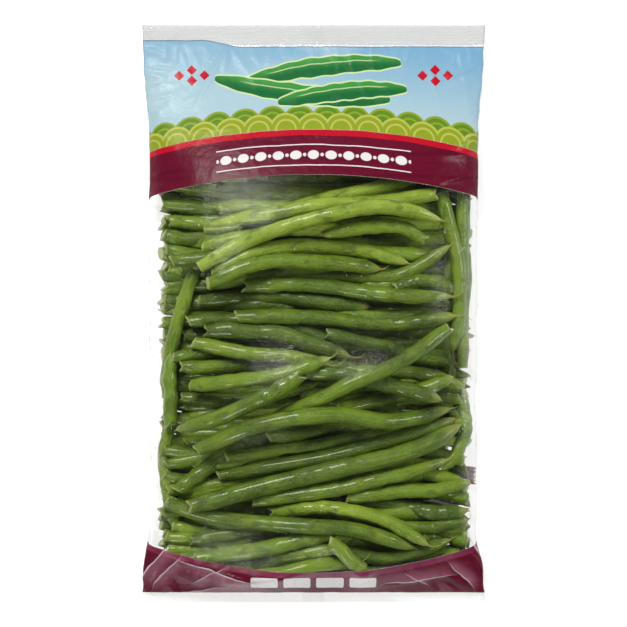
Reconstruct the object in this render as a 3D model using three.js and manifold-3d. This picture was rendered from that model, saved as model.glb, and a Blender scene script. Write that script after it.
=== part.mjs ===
// A clear printed bag full of trimmed French beans, lying on its back.
// Millimetres: X runs across the bag, Y from its bottom seal to its top seal, Z up from the table.
import * as THREE from "three";
import { mergeVertices } from "three/addons/utils/BufferGeometryUtils.js";
import Module from "manifold-3d";

const wasm = await Module();
wasm.setup();

// The bag
const bagLength = 318;
const bagHalfWidth = 94.5;
const filmThickness = 0.6;
const lowSealDepth = 5.5;
const topSealDepth = 11;
const lowClosing = 1.8;
const topClosing = 5;
const frontRoundness = 2.5;
const backRoundness = 3.4;
const backFlattening = 1.25;
const frontShares = [0, 0.125, 0.25, 0.375, 0.5, 0.63, 0.76, 0.88, 0.965];
const backShares = [0, 0.3, 0.6, 0.85, 0.965];
const sectionSpacing = 14;
const drapePasses = 3;
const drapeSlack = 1.7;
const ventRadius = 3;
const ventSpotsX = [-36, -12, 12, 36];
const ventY = 118;

// The beans
const beanGap = 0.2;
const plumpness = 1.06;
const bendRadius = 95;
const looseSides = 7;
const packedSides = 6;
const looseRings = [0, 0.06, 0.2, 0.38, 0.56, 0.74, 0.88, 0.96];
const packedRings = [0, 0.12, 0.45, 0.8];
const packedShare = 0.33;
const coreShares = [0.15, 0.25];
const looseFloorShare = 0.36;
const rowPitch = 8.7;
const packedLow = -146;
const packedHigh = 76;
const crossingMiddle = -38;
const crossingReach = 26;
const layoutSeed = 4711;

// The front beans were laid out over the picture: one picture point is 0.55 mm, and its centre is the bag's.
const pictureScale = 0.55;
const pictureCentre = [313.5, 314];

// How the bag's section changes along it: half width, and the heights of its side fold, front and back.
const bagStations = [
  { y: -bagLength / 2, half: bagHalfWidth, fold: 3.4, front: 4.0, back: 2.8 },
  { y: -bagLength / 2 + lowSealDepth, half: 94, fold: 3.6, front: 4.2, back: 3.0 },
  { y: -151, half: 92.8, fold: 5, front: 11, back: 1.6 },
  { y: -147, half: 91, fold: 8, front: 22, back: 0.6 },
  { y: -138, half: 89, fold: 13, front: 34, back: 0 },
  { y: -120, half: 88.4, fold: 16, front: 42, back: 0 },
  { y: -85, half: 88.2, fold: 17.5, front: 46.5, back: 0 },
  { y: -40, half: 88.4, fold: 18, front: 48, back: 0 },
  { y: 5, half: 88.6, fold: 18, front: 48, back: 0 },
  { y: 45, half: 89, fold: 17.5, front: 46, back: 0 },
  { y: 72, half: 89.6, fold: 15.5, front: 41, back: 0 },
  { y: 92, half: 90.4, fold: 11.5, front: 31, back: 0 },
  { y: 112, half: 91.6, fold: 7.5, front: 20, back: 0.4 },
  { y: 134, half: 93.2, fold: 4, front: 8, back: 0.8 },
  { y: bagLength / 2 - topSealDepth, half: 94.2, fold: 2.2, front: 2.8, back: 1.6 },
  { y: bagLength / 2, half: bagHalfWidth, fold: 1.8, front: 2.4, back: 1.2 },
];

// Each front bean from its cut end to its tip, in picture points, lowest in the pile first.
const frontBeans = [
  { way: [[464, 180], [464, 240], [464, 300], [462, 352]], thick: 6.4 },
  { way: [[440, 192], [452, 235], [459, 275], [459, 315], [453, 352]], thick: 7.0 },
  { way: [[196, 268], [181, 312], [169, 360], [169, 414]], thick: 6.8 },
  { way: [[170, 424], [164, 462], [168, 500], [180, 534]], thick: 6.4 },
  { way: [[462, 396], [465, 424], [458, 452], [438, 470]], thick: 6.6 },
  { way: [[205, 231], [262, 229], [320, 224], [372, 219]], thick: 6.6 },
  { way: [[240, 229], [285, 221], [345, 212], [405, 190]], thick: 7.0 },
  { way: [[204, 248], [250, 236], [300, 230], [352, 233]], thick: 7.2 },
  { way: [[188, 322], [235, 319], [290, 327], [340, 344]], thick: 7.0 },
  { way: [[172, 262], [232, 257], [290, 250], [340, 256]], thick: 6.8 },
  { way: [[172, 358], [222, 351], [285, 356], [345, 371]], thick: 6.8 },
  { way: [[180, 367], [225, 367], [275, 359], [330, 362]], thick: 7.4 },
  { way: [[268, 372], [315, 366], [365, 370], [402, 382]], thick: 6.2 },
  { way: [[180, 398], [225, 401], [268, 396], [318, 383]], thick: 6.6 },
  { way: [[190, 541], [242, 533], [300, 538], [345, 548]], thick: 7.0 },
  { way: [[338, 549], [372, 557], [412, 553], [450, 540]], thick: 7.0 },
  { way: [[392, 524], [428, 528], [466, 520]], thick: 6.8 },
  { way: [[340, 502], [385, 503], [430, 513], [467, 511]], thick: 7.4 },
  { way: [[398, 402], [424, 397], [444, 406], [459, 420]], thick: 6.2 },
  { way: [[325, 334], [370, 344], [420, 358], [464, 367]], thick: 7.4 },
  { way: [[344, 373], [390, 372], [430, 377], [464, 388]], thick: 7.0 },
  { way: [[340, 407], [385, 399], [425, 388], [452, 377]], thick: 7.4 },
  { way: [[285, 212], [350, 194], [404, 182], [450, 168]], thick: 7.6 },
  { way: [[436, 195], [380, 203], [300, 210], [210, 226]], thick: 7.6 },
  { way: [[425, 241], [400, 228], [362, 229], [322, 236]], thick: 6.8 },
  { way: [[206, 286], [262, 275], [330, 277], [400, 276], [450, 246]], thick: 7.6 },
  { way: [[396, 289], [421, 281], [440, 284], [453, 293]], thick: 7.2 },
  { way: [[200, 302], [262, 297], [318, 302], [369, 307]], thick: 8.0 },
  { way: [[194, 343], [240, 352], [290, 358], [330, 366]], thick: 7.4 },
  { way: [[305, 373], [350, 376], [400, 388], [440, 400]], thick: 7.6 },
  { way: [[192, 385], [235, 382], [278, 375], [330, 358]], thick: 7.4 },
  { way: [[177, 491], [205, 470], [236, 447], [276, 436]], thick: 7.4 },
  { way: [[268, 438], [318, 431], [366, 429], [412, 432]], thick: 7.0 },
  { way: [[346, 498], [396, 492], [438, 489], [471, 482]], thick: 7.4 },
  { way: [[199, 572], [250, 566], [296, 556], [340, 548]], thick: 7.4 },
  { way: [[230, 578], [272, 574], [320, 564], [360, 561]], thick: 6.8 },
  { way: [[212, 274], [258, 254], [318, 246], [362, 251], [408, 264]], thick: 7.6 },
  { way: [[208, 284], [262, 264], [325, 262], [380, 270]], thick: 7.2 },
  { way: [[243, 287], [305, 285], [380, 295], [452, 297]], thick: 7.4 },
  { way: [[204, 332], [252, 331], [300, 341], [350, 357]], thick: 8.2 },
  { way: [[226, 457], [290, 449], [340, 440], [398, 436]], thick: 6.6 },
  { way: [[268, 512], [330, 508], [385, 520], [428, 545]], thick: 7.6 },
  { way: [[184, 560], [238, 553], [290, 542], [338, 533]], thick: 8.4 },
  { way: [[200, 268], [256, 238], [320, 218], [392, 209], [442, 222]], thick: 7.6 },
  { way: [[238, 317], [305, 317], [385, 325], [456, 316]], thick: 8.0 },
  { way: [[254, 501], [330, 489], [400, 474], [450, 459]], thick: 7.6 },
  { way: [[218, 476], [290, 463], [372, 446], [455, 419]], thick: 7.6 },
  { way: [[166, 503], [208, 516], [290, 525], [360, 531], [415, 548]], thick: 8.2 },
  { way: [[448, 328], [402, 361], [345, 386], [306, 405], [270, 416]], thick: 7.8 },
  { way: [[198, 450], [246, 429], [318, 414], [392, 421], [450, 409]], thick: 8.2 },
  { way: [[188, 507], [262, 487], [350, 465], [420, 448], [460, 425]], thick: 8.8 },
  { way: [[302, 374], [268, 396], [222, 416], [177, 430]], thick: 8.4 },
  { way: [[329, 541], [348, 556], [366, 573]], thick: 7.4 },
];

// A repeatable draw from 0 to 1
function makeDraw(seed) {
  let state = seed;
  return () => {
    state = (state * 16807) % 2147483647;
    return state / 2147483647;
  };
}

// The bag's outline at y, smoothly joined through its stations
function bagAt(y) {
  let i = 0;
  while (i < bagStations.length - 2 && y > bagStations[i + 1].y) i++;
  const a = bagStations[i];
  const b = bagStations[i + 1];
  const t = THREE.MathUtils.clamp((y - a.y) / (b.y - a.y), 0, 1);
  const mixed = (key) => {
    const before = bagStations[Math.max(0, i - 1)];
    const after = bagStations[Math.min(bagStations.length - 1, i + 2)];
    const span = b.y - a.y;
    const slopeA = i > 0 ? ((b[key] - before[key]) / (b.y - before.y)) * span : b[key] - a[key];
    const slopeB = b !== after ? ((after[key] - a[key]) / (after.y - a.y)) * span : b[key] - a[key];
    const t2 = t * t;
    const t3 = t2 * t;
    return (
      (2 * t3 - 3 * t2 + 1) * a[key] +
      (t3 - 2 * t2 + t) * slopeA +
      (3 * t2 - 2 * t3) * b[key] +
      (t3 - t2) * slopeB
    );
  };
  return { half: mixed("half"), fold: mixed("fold"), front: mixed("front"), back: Math.max(0, mixed("back")) };
}

// Height of the bag's front skin over a point of the table
function frontHeight(x, y) {
  const bag = bagAt(y);
  const reach = Math.min(1, Math.abs(x) / bag.half);
  return bag.fold + (bag.front - bag.fold) * Math.pow(1 - Math.pow(reach, frontRoundness), 1 / frontRoundness);
}

// Height of its back skin, flat where the table carries it
function backHeight(x, y) {
  const bag = bagAt(y);
  const reach = Math.min(1, Math.abs(x) / bag.half);
  const drop = (bag.fold - bag.back) * backFlattening;
  const round = bag.fold - drop * Math.pow(1 - Math.pow(reach, backRoundness), 1 / backRoundness);
  return Math.max(bag.back, round);
}

// A point at a share of the way from the back skin to the front skin
function between(x, y, share) {
  const low = backHeight(x, y);
  return low + share * (frontHeight(x, y) - low);
}

// A closed skin over rings of equal length: triangles between rings, a fan on each end
function closedSkin(rings, apex) {
  const sides = rings[0].length;
  const positions = rings.flat().flatMap((p) => [p.x, p.y, p.z]);
  const faces = [];
  for (let r = 0; r + 1 < rings.length; r++) {
    for (let s = 0; s < sides; s++) {
      const a = r * sides + s;
      const b = r * sides + ((s + 1) % sides);
      faces.push(a, b, b + sides, a, b + sides, a + sides);
    }
  }
  for (let s = 1; s + 1 < sides; s++) faces.push(0, s + 1, s);
  const last = (rings.length - 1) * sides;
  if (apex) {
    positions.push(apex.x, apex.y, apex.z);
    for (let s = 0; s < sides; s++) faces.push(last + s, last + ((s + 1) % sides), last + sides);
  } else {
    for (let s = 1; s + 1 < sides; s++) faces.push(last, last + s, last + s + 1);
  }
  const skin = new THREE.BufferGeometry();
  skin.setAttribute("position", new THREE.Float32BufferAttribute(positions, 3));
  skin.setIndex(faces);
  return skin;
}

function toSolid(geometry) {
  const plain = geometry.clone();
  plain.deleteAttribute("normal");
  plain.deleteAttribute("uv");
  const merged = mergeVertices(plain, 1e-4);
  const mesh = new wasm.Mesh({
    numProp: 3,
    vertProperties: new Float32Array(merged.attributes.position.array),
    triVerts: new Uint32Array(merged.index.array),
  });
  return new wasm.Manifold(mesh);
}

function toGeometry(solid) {
  const mesh = solid.getMesh();
  const geometry = new THREE.BufferGeometry();
  geometry.setAttribute("position", new THREE.BufferAttribute(new Float32Array(mesh.vertProperties), 3));
  geometry.setIndex(new THREE.BufferAttribute(new Uint32Array(mesh.triVerts), 1));
  geometry.computeVertexNormals();
  return geometry;
}

// How high the film has to lie to pass over every bean close to a point
function drapedHeight(x, y, reachAcross, reachAlong, placed) {
  let height = 0;
  for (const bean of placed) {
    const margin = bean.radius / 2;
    const near = Math.abs(bean.x - x) < reachAcross + margin && Math.abs(bean.y - y) < reachAlong + margin;
    if (near) height = Math.max(height, bean.z + bean.radius + drapeSlack);
  }
  return height;
}

// Where the bag's sections stand: evenly over the beans, closer towards the welds
function sectionStops() {
  const body = [-147, 134];
  const steps = Math.round((body[1] - body[0]) / sectionSpacing);
  const even = Array.from({ length: steps + 1 }, (_, i) => THREE.MathUtils.lerp(...body, i / steps));
  const closer = bagStations.map((s) => s.y).filter((y) => y < body[0] || y > body[1]);
  return [...even, ...closer].sort((a, b) => a - b);
}

// The front skin as heights over those sections: draped on the beans, taut over the hollows between them
function drapeFront(stops, shares, placed) {
  const lowWeld = -bagLength / 2 + lowSealDepth;
  const topWeld = bagLength / 2 - topSealDepth;
  let heights = stops.map((y, i) => {
    const half = bagAt(y).half;
    return shares.map((share, k) => {
      if (Math.abs(share) === 1) return bagAt(y).fold;
      if (y <= lowWeld || y >= topWeld) return frontHeight(share * half, y);
      const across = half * Math.max(share - shares[k + 1], shares[k - 1] - share);
      const along = Math.max(y - stops[i - 1], stops[i + 1] - y);
      return Math.max(frontHeight(share * half, y), drapedHeight(share * half, y, across, along, placed));
    });
  });
  for (let pass = 0; pass < drapePasses; pass++) {
    heights = heights.map((row, i) =>
      row.map((height, k) => {
        if (i < 2 || i > stops.length - 4 || k === 0 || k === row.length - 1) return height;
        return Math.max(height, (heights[i - 1][k] + heights[i + 1][k] + row[k - 1] + row[k + 1]) / 4);
      }),
    );
  }
  return heights;
}

// The bag's skin, moved inwards by an inset, between two ends
function bagSkin(inset, lowEnd, highEnd, placed) {
  const stops = sectionStops();
  const shares = [1, ...frontShares.toReversed(), ...frontShares.slice(1).map((s) => -s), -1];
  const heights = drapeFront(stops, shares, placed);
  const ringAt = (y, row) => {
    const half = bagAt(y).half;
    const shrink = (half - inset) / half;
    const front = shares.map((share, k) => {
      const z = Math.abs(share) === 1 ? row[k] : row[k] - inset;
      return new THREE.Vector3(share * half * shrink, y, z);
    });
    const back = [...backShares.toReversed().map((s) => -s), ...backShares.slice(1)].map((share) => {
      return new THREE.Vector3(share * half * shrink, y, backHeight(share * half, y) + inset);
    });
    return [...front, ...back].reverse();
  };
  const rowAt = (y) => {
    const i = THREE.MathUtils.clamp(stops.findIndex((stop) => stop >= y), 1, stops.length - 1);
    const t = (y - stops[i - 1]) / (stops[i] - stops[i - 1]);
    return heights[i].map((height, k) => THREE.MathUtils.lerp(heights[i - 1][k], height, t));
  };
  const middle = stops.map((y, i) => [y, heights[i]]).filter(([y]) => y > lowEnd && y < highEnd);
  return closedSkin([[lowEnd, rowAt(lowEnd)], ...middle, [highEnd, rowAt(highEnd)]].map((s) => ringAt(...s)));
}

// The film: one tube welded flat at both ends, with a row of vent holes in its back
function bagFilm(placed) {
  const outside = toSolid(bagSkin(0, -bagLength / 2, bagLength / 2, placed));
  const lowHollow = -bagLength / 2 + lowSealDepth + lowClosing;
  const highHollow = bagLength / 2 - topSealDepth - topClosing;
  let film = outside.subtract(toSolid(bagSkin(filmThickness, lowHollow, highHollow, placed)));
  for (const x of ventSpotsX) {
    const vent = new THREE.CylinderGeometry(ventRadius, ventRadius, 6, 12);
    vent.rotateX(Math.PI / 2);
    vent.translate(x, ventY, backHeight(x, ventY));
    film = film.subtract(toSolid(vent));
  }
  return toGeometry(film);
}

// How full a bean is along its length, from its cut end to its tip
function beanFullness(t) {
  const neck = 0.76 + 0.24 * THREE.MathUtils.smoothstep(t, 0, 0.12);
  const tail = Math.pow(Math.max(0, 1 - Math.pow(THREE.MathUtils.clamp((t - 0.7) / 0.3, 0, 1), 2.2)), 0.7);
  return neck * Math.max(0.05, tail);
}

// The rings of a bean round the stops on its middle line
function beanSkin(stops, apex, sides) {
  const all = [...stops, apex];
  const rings = stops.map((stop, i) => {
    const before = all[Math.max(0, i - 1)];
    const along = new THREE.Vector3().subVectors(all[i + 1], before).normalize();
    const side = new THREE.Vector3(-along.y, along.x, 0).normalize();
    const up = new THREE.Vector3().crossVectors(along, side).normalize();
    const ring = [];
    for (let s = 0; s < sides; s++) {
      const angle = (2 * Math.PI * (s + 0.5)) / sides;
      const point = new THREE.Vector3().copy(stop);
      point.addScaledVector(side, stop.radius * Math.cos(angle));
      point.addScaledVector(up, stop.radius * Math.sin(angle));
      ring.push(point);
    }
    return ring;
  });
  return closedSkin(rings, apex);
}

// Points close together along a bean's middle line, with the radius there
function alongBean(stops, apex) {
  const all = [...stops, apex];
  const dense = [];
  for (let i = 0; i + 1 < all.length; i++) {
    const a = all[i];
    const b = all[i + 1];
    const steps = Math.max(2, Math.round(a.distanceTo(b) / 2.5));
    for (let k = 0; k < steps; k++) {
      const point = new THREE.Vector3().lerpVectors(a, b, k / steps);
      point.radius = THREE.MathUtils.lerp(a.radius, b.radius, k / steps);
      point.from = i;
      dense.push(point);
    }
  }
  const end = all[all.length - 1].clone();
  end.radius = 0.2;
  end.from = all.length - 2;
  dense.push(end);
  return dense;
}

// The middle line's stops over the table: places by the bean's way, radii by its fullness
function planStops(way, thick, shares) {
  const curve = new THREE.CatmullRomCurve3(way.map(([x, y]) => new THREE.Vector3(x, y, 0)), false, "centripetal");
  const place = (share) => {
    const point = curve.getPointAt(share);
    point.radius = Math.max(0.2, (beanFullness(share) * thick * plumpness) / 2);
    return point;
  };
  return { stops: shares.map(place), apex: place(1) };
}

// The packed beans under the front ones: even rows that follow the bag's own curve at a level
function packedRow(draw, y, leftward, share, lift) {
  const bag = bagAt(y);
  const length = 112 + 22 * draw();
  const thick = 7.4 + 1.2 * draw();
  const edge = bag.half - 13 - 5 * draw();
  const start = leftward ? -edge : edge;
  const towards = leftward ? 1 : -1;
  const slope = 0.05 * (draw() - 0.5);
  const bow = 5 * (draw() - 0.5);
  const way = [0, 0.25, 0.5, 0.75, 1].map((t) => [
    start + towards * length * t,
    y + length * slope * (t - 0.5) + bow * Math.sin(Math.PI * t),
  ]);
  const bean = planStops(way, thick, packedRings);
  for (const stop of [...bean.stops, bean.apex]) {
    stop.z = lift === undefined ? between(stop.x, stop.y, share) : backHeight(stop.x, stop.y) + lift + thick / 2;
  }
  return bean;
}

function packedBeans() {
  const draw = makeDraw(layoutSeed);
  const upper = [];
  const lower = [];
  const rows = Math.floor((packedHigh - packedLow) / rowPitch);
  for (let row = 0; row <= rows; row++) {
    const y = packedLow + 4 + row * rowPitch;
    const above = packedRow(draw, y, row % 2 === 0, packedShare);
    if (Math.abs(y - crossingMiddle) > crossingReach) upper.push(above);
    lower.push(packedRow(draw, y, row % 2 === 1, 0, filmThickness + 0.5));
  }
  return { upper, lower };
}

// The packed beans joined round a smaller core that fills the middle of the pile
function packedPile(beans) {
  const stops = [packedLow + 6, -134, -120, -85, -40, 5, 45, 64, packedHigh - 2];
  const acrossShares = [-1, -0.8, -0.4, 0, 0.4, 0.8, 1];
  const rings = stops.map((y) => {
    const half = bagAt(y).half - 20;
    const top = acrossShares.map((a) => new THREE.Vector3(a * half, y, between(a * half, y, coreShares[1])));
    const bottom = acrossShares.map((a) => new THREE.Vector3(a * half, y, between(a * half, y, coreShares[0])));
    return [...top, ...bottom.reverse()];
  });
  let pile = toSolid(closedSkin(rings));
  for (const bean of [...beans.upper, ...beans.lower]) {
    pile = pile.add(toSolid(beanSkin(bean.stops, bean.apex, packedSides)));
  }
  return toGeometry(pile);
}

// Lays a bean on those already there: high enough to clear them, no bend tighter than it can take
function restOn(bean, placed) {
  const all = [...bean.stops, bean.apex];
  for (const stop of all) stop.z = between(stop.x, stop.y, looseFloorShare);
  const needed = alongBean(bean.stops, bean.apex).map((point) => {
    let height = between(point.x, point.y, looseFloorShare);
    for (const other of placed) {
      const reach = point.radius + other.radius + beanGap;
      const apart = Math.hypot(point.x - other.x, point.y - other.y);
      if (apart < reach) height = Math.max(height, other.z + Math.sqrt(reach * reach - apart * apart));
    }
    return { point, height };
  });
  for (const stop of all) {
    for (const { point, height } of needed) {
      const apart = Math.hypot(stop.x - point.x, stop.y - point.y);
      stop.z = Math.max(stop.z, height - (apart * apart) / (2 * bendRadius));
    }
  }
  for (let pass = 0; pass < 60; pass++) {
    const line = alongBean(bean.stops, bean.apex);
    let worst = 0;
    line.forEach((point, i) => {
      const short = needed[Math.min(i, needed.length - 1)].height - point.z;
      if (short > 0.01) {
        all[point.from].z += short * 0.6;
        all[point.from + 1].z += short * 0.6;
        worst = Math.max(worst, short);
      }
    });
    if (worst < 0.02) break;
  }
  return bean;
}

const beanGreen = new THREE.MeshStandardMaterial({ color: 0x5f8a2c, roughness: 0.42, metalness: 0 });
const packedGreen = new THREE.MeshStandardMaterial({ color: 0x4f7726, roughness: 0.45, metalness: 0 });
const clearFilm = new THREE.MeshStandardMaterial({
  color: 0xf2f4f3,
  roughness: 0.12,
  metalness: 0,
  transparent: true,
  opacity: 0.25,
});

const bundle = new THREE.Group();

function addPiece(name, geometry, material) {
  const mesh = new THREE.Mesh(geometry, material);
  mesh.name = name;
  bundle.add(mesh);
}

const packed = packedBeans();
addPiece("packed_beans", packedPile(packed), packedGreen);

const placed = [...packed.upper, ...packed.lower].flatMap((bean) => alongBean(bean.stops, bean.apex));
frontBeans.forEach(({ way, thick }, i) => {
  const spots = way.map(([px, py]) => [
    (px - pictureCentre[0]) * pictureScale,
    (pictureCentre[1] - py) * pictureScale,
  ]);
  const bean = restOn(planStops(spots, thick, looseRings), placed);
  placed.push(...alongBean(bean.stops, bean.apex));
  addPiece(`bean_${String(i + 1).padStart(2, "0")}`, beanSkin(bean.stops, bean.apex, looseSides), beanGreen);
});

addPiece("bag_film", bagFilm(placed), clearFilm);

export default bundle;
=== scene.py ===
# Trimmed French beans in a clear printed bag that lies on its back, seen from straight above.
import math

import bmesh
import bpy
import numpy as np
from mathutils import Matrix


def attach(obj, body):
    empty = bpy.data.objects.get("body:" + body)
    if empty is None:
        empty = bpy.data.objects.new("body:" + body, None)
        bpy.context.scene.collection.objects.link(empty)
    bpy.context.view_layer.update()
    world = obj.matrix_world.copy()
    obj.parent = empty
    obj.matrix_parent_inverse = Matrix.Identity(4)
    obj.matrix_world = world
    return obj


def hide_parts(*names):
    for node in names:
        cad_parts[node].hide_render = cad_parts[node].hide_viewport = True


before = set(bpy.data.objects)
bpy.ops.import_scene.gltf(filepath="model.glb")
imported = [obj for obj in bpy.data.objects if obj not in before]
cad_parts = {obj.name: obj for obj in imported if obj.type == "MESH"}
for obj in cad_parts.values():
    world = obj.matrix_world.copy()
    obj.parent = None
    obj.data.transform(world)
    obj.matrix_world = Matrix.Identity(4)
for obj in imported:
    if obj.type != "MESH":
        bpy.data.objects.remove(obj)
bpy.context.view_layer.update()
mm = 0.001
print("frame loaded")


# A repeatable draw from 0 to 1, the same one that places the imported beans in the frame
class Draw:
    def __init__(self, seed):
        self.state = seed

    def __call__(self, low=0.0, high=1.0):
        self.state = self.state * 16807 % 2147483647
        return low + (high - low) * self.state / 2147483647


def onlySelect(obj):
    bpy.ops.object.select_all(action="DESELECT")
    obj.select_set(True)
    bpy.context.view_layer.objects.active = obj


def smoothStep(x, low, high):
    t = np.clip((x - low) / (high - low), 0, 1)
    return t * t * (3 - 2 * t)


# A smooth curve through values at rising knots
def throughKnots(knots, values, at):
    knots = np.asarray(knots, float)
    values = np.asarray(values, float)
    slopes = np.empty_like(values)
    slopes[1:-1] = (values[2:] - values[:-2]) / (knots[2:] - knots[:-2])[:, None]
    slopes[0] = (values[1] - values[0]) / (knots[1] - knots[0])
    slopes[-1] = (values[-1] - values[-2]) / (knots[-1] - knots[-2])
    at = np.asarray(at, float)
    i = np.clip(np.searchsorted(knots, at) - 1, 0, len(knots) - 2)
    span = knots[i + 1] - knots[i]
    t = np.clip((at - knots[i]) / span, 0, 1)[..., None]
    span = span[..., None]
    return (
        (2 * t**3 - 3 * t**2 + 1) * values[i]
        + (t**3 - 2 * t**2 + t) * slopes[i] * span
        + (3 * t**2 - 2 * t**3) * values[i + 1]
        + (t**3 - t**2) * slopes[i + 1] * span
    )


# The bag's outline along its length, as in the frame: y, half width, fold, front and back height
bag = {
    "length": 318,
    "lowSeal": 5.5,
    "topSeal": 11,
    "frontRoundness": 2.5,
    "backRoundness": 3.4,
    "backFlattening": 1.25,
    "stations": [
        (-159, 94.5, 3.4, 4.0, 2.8),
        (-153.5, 94, 3.6, 4.2, 3.0),
        (-151, 92.8, 5, 11, 1.6),
        (-147, 91, 8, 22, 0.6),
        (-138, 89, 13, 34, 0),
        (-120, 88.4, 16, 42, 0),
        (-85, 88.2, 17.5, 46.5, 0),
        (-40, 88.4, 18, 48, 0),
        (5, 88.6, 18, 48, 0),
        (45, 89, 17.5, 46, 0),
        (72, 89.6, 15.5, 41, 0),
        (92, 90.4, 11.5, 31, 0),
        (112, 91.6, 7.5, 20, 0.4),
        (134, 93.2, 4, 8, 0.8),
        (148, 94.2, 2.2, 2.8, 1.6),
        (159, 94.5, 1.8, 2.4, 1.2),
    ],
}


def bagAt(y):
    stations = np.array(bag["stations"], float)
    half, fold, front, back = np.moveaxis(throughKnots(stations[:, 0], stations[:, 1:], y), -1, 0)
    return half, fold, front, np.maximum(back, 0)


def frontHeight(x, y):
    half, fold, front = bagAt(y)[:3]
    reach = np.minimum(1, np.abs(x) / half)
    return fold + (front - fold) * (1 - reach ** bag["frontRoundness"]) ** (1 / bag["frontRoundness"])


def backHeight(x, y):
    half, fold, _, back = bagAt(y)
    reach = np.minimum(1, np.abs(x) / half)
    drop = (fold - back) * bag["backFlattening"]
    return np.maximum(back, fold - drop * (1 - reach ** bag["backRoundness"]) ** (1 / bag["backRoundness"]))


# The camera, straight above. The picture is 627 points of 0.55 mm across, at the height of the beans.
view = {"distance": 4.0, "frame": 627 * 0.55 * mm, "focus": 0.012, "sensor": 36}

cameraData = bpy.data.cameras.new("camera")
camera = bpy.data.objects.new("camera", cameraData)
bpy.context.scene.collection.objects.link(camera)
camera.location = (0, 0, view["distance"])
cameraData.sensor_width = view["sensor"]
cameraData.lens = view["sensor"] * (view["distance"] - view["focus"]) / view["frame"]
bpy.context.scene.camera = camera


# Bean models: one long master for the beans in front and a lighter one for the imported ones
beanModel = {
    "sides": 24,
    "rings": 92,
    "packedSides": 12,
    "packedRings": 28,
    "bodyShare": 0.92,
    "cutInsets": (0.14, 0.42),
    "dimple": 0.5 * mm,
    "cutReach": 5 * mm,
    "cutSlant": 0.6,
    "cutLean": (-0.25, 0.32),
    "notch": (0.3, 0.9),
    "taperStart": (0.72, 0.88),
    "bluntness": (0.45, 0.72),
    "oval": (0.02, 0.07),
    "ridge": 0.012,
    "seedPitch": (8.5, 11.5),
    "seedSwell": (0.015, 0.06),
    "whisker": (4, 10),
    "whiskerRadius": 0.42,
    "wobble": 0.5,
    "lumps": 0.035,
    "filmPlay": 2.2,
}


def modelBean(name, sides, rings):
    bpy.ops.object.select_all(action="DESELECT")
    bpy.ops.mesh.primitive_cylinder_add(vertices=sides, radius=1, depth=1, rotation=(0, math.pi / 2, 0))
    bean = bpy.context.object
    bean.name = name
    bpy.ops.object.transform_apply(location=False, rotation=True, scale=False)
    bpy.ops.object.mode_set(mode="EDIT")
    bpy.ops.mesh.select_mode(type="EDGE")
    bpy.ops.mesh.select_all(action="DESELECT")
    mesh = bmesh.from_edit_mesh(bean.data)
    for edge in mesh.edges:
        edge.select_set(abs(edge.verts[0].co.x - edge.verts[1].co.x) > 0.5)
    bmesh.update_edit_mesh(bean.data)
    bpy.ops.mesh.subdivide(number_cuts=rings)
    bpy.ops.mesh.select_mode(type="FACE")
    for end, insets in ((-1, beanModel["cutInsets"]), (1, ())):
        bpy.ops.mesh.select_all(action="DESELECT")
        mesh = bmesh.from_edit_mesh(bean.data)
        mesh.faces.ensure_lookup_table()
        for face in mesh.faces:
            face.select_set(face.normal.x * end > 0.9 and len(face.verts) == sides)
        bmesh.update_edit_mesh(bean.data)
        for inset in insets:
            bpy.ops.mesh.inset(thickness=inset, depth=0)
    bpy.ops.mesh.merge(type="CENTER")
    bpy.ops.object.mode_set(mode="OBJECT")
    bean.data.materials.append(None)
    bean.data.materials.append(None)
    for face in bean.data.polygons:
        face.material_index = 1 if face.normal.x < -0.9 else 0
    onlySelect(bean)
    bpy.ops.object.shade_smooth()
    return bean


# A bean's middle line and girth, read from the rings of its solid in the frame
def readBeanLine(node, sides=7, rings=8):
    mesh = bmesh.new()
    mesh.from_mesh(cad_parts[node].data)
    bmesh.ops.remove_doubles(mesh, verts=mesh.verts, dist=2e-6)
    for tip in (v for v in mesh.verts if len(v.link_edges) == sides):
        seen = {tip}
        layer = [tip]
        found = [(tip.co.copy(), 0.0)]
        while len(found) <= rings:
            layer = list({e.other_vert(v) for v in layer for e in v.link_edges} - seen)
            if len(layer) != sides:
                break
            seen.update(layer)
            middle = sum((v.co for v in layer[1:]), layer[0].co.copy()) / sides
            found.append((middle, max((v.co - middle).length for v in layer)))
        if len(found) == rings + 1:
            mesh.free()
            found.reverse()
            return np.array([list(p) for p, r in found]), max(r for p, r in found)
    raise RuntimeError(f"{node} has no rings to read")


def beanFullness(t, taperStart, bluntness):
    neck = 0.8 + 0.2 * smoothStep(t, 0, 0.1)
    tail = np.maximum(0, 1 - np.clip((t - taperStart) / (1 - taperStart), 0, 1) ** 2.3) ** bluntness
    return neck * tail


# Every bean laid so far, as points along its middle with the radius there, for the film to rest on
laidBeans = []


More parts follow.
